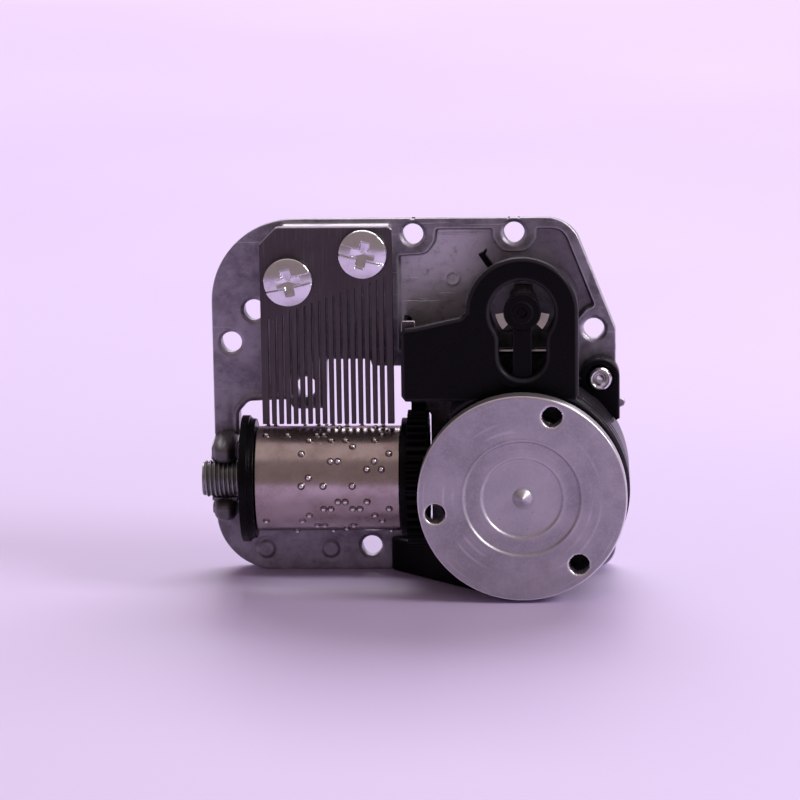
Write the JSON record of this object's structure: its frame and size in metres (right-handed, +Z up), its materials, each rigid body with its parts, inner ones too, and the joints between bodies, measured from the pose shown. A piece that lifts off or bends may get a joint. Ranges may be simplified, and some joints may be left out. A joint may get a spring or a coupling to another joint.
{
  "type": "wind-up music box movement",
  "caption": "Wind-up music box movement with a pinned cylinder, steel comb, spring drum, fan governor and a turntable disc, on a cast plate with a winding key.",
  "frame": {"origin": "on the surface it stands on, under the middle of the whole movement's box", "axes": "+Z up with the movement standing on its long edge, +X along the cylinder from the threaded bush to the turntable side, +Y from the works to the mounting face of the plate"},
  "size_m": [0.0532, 0.0308, 0.045],
  "materials": {
    "cast_zinc": "satin die-cast zinc, bright on the worn edges",
    "comb_steel": "dark hardened steel, ground face",
    "bright_nickel": "bright nickel plate",
    "nickel_sleeve": "polished nickel sleeve",
    "black_plastic": "glossy moulded black plastic",
    "turned_alloy": "satin turned and tumbled face",
    "shaft_steel": "drawn steel",
    "spring_steel": "blued spring steel",
    "gear_brass": "machined brass",
    "nylon": "natural nylon"
  },
  "bodies": {
    "plate": {"base_plate": "cast_zinc", "comb": "comb_steel", "comb_screw_left": "bright_nickel", "comb_screw_right": "bright_nickel", "bearing_bush": "shaft_steel", "gear_housing": "black_plastic", "base_flange": "black_plastic", "spring_case_ear": "black_plastic", "case_rivet": "bright_nickel", "train_bracket": "shaft_steel", "governor_bridge": "black_plastic", "click_pin": "shaft_steel", "click_spring": "spring_steel", "lever_pin": "shaft_steel"},
    "drum": {"spring_drum": "shaft_steel", "crown_gear": "black_plastic", "mainspring": "spring_steel", "turntable": "turned_alloy"},
    "cylinder": {"cylinder": "nickel_sleeve", "cylinder_end_cap": "black_plastic", "cylinder_gear": "black_plastic", "drive_pinion": "gear_brass", "cylinder_axle": "shaft_steel"},
    "first_shaft": {"first_shaft": "shaft_steel", "first_pinion": "black_plastic", "first_gear": "black_plastic"},
    "worm_wheel": {"worm_wheel_shaft": "shaft_steel", "worm_wheel_pinion": "gear_brass", "worm_wheel": "nylon"},
    "governor": {"governor_worm": "shaft_steel", "governor_fan": "black_plastic"},
    "arbor": {"winding_arbor": "shaft_steel", "ratchet_wheel": "gear_brass", "winding_key": "bright_nickel"},
    "stop_lever": {"stop_lever": "black_plastic"},
    "click": {"click_pawl": "shaft_steel"}
  },
  "joints": [
    {"name": "drum_spin", "type": "hinge", "parent": "plate", "child": "drum", "pos_m": [0.01338, -0.00645, 0.0132], "axis": [0, 1, 0], "continuous": true},
    {"name": "cylinder_spin", "type": "hinge", "parent": "plate", "child": "cylinder", "pos_m": [-0.01028, -0.00395, 0.0132], "axis": [1, 0, 0], "continuous": true},
    {"name": "first_shaft_spin", "type": "hinge", "parent": "plate", "child": "first_shaft", "pos_m": [0.00372, -0.00395, 0.02505], "axis": [1, 0, 0], "continuous": true},
    {"name": "worm_wheel_spin", "type": "hinge", "parent": "plate", "child": "worm_wheel", "pos_m": [0.01172, -0.00395, 0.0293], "axis": [1, 0, 0], "continuous": true},
    {"name": "governor_spin", "type": "hinge", "parent": "plate", "child": "governor", "pos_m": [0.01348, -0.00395, 0.03535], "axis": [0, 1, 0], "continuous": true},
    {"name": "key_turn", "type": "hinge", "parent": "plate", "child": "arbor", "pos_m": [0.01338, 0.00455, 0.0132], "axis": [0, 1, 0], "continuous": true},
    {"name": "stop_lever_swing", "type": "hinge", "parent": "plate", "child": "stop_lever", "pos_m": [0.01047, -0.00165, 0.03825], "axis": [0, 1, 0], "range_deg": [-7, 7]},
    {"name": "click_swing", "type": "hinge", "parent": "plate", "child": "click", "pos_m": [0.02028, 0.00235, 0.0142], "axis": [0, 1, 0], "range_deg": [0, 8], "stiffness_Nm_per_rad": 0.000005, "springref_deg": -11.46}
  ],
  "couplings": [
    {"joint": "cylinder_spin", "follows": "drum_spin", "ratio": 3.2308},
    {"joint": "first_shaft_spin", "follows": "drum_spin", "ratio": -7.359},
    {"joint": "worm_wheel_spin", "follows": "drum_spin", "ratio": 14.718},
    {"joint": "governor_spin", "follows": "drum_spin", "ratio": -147.18}
  ]
}
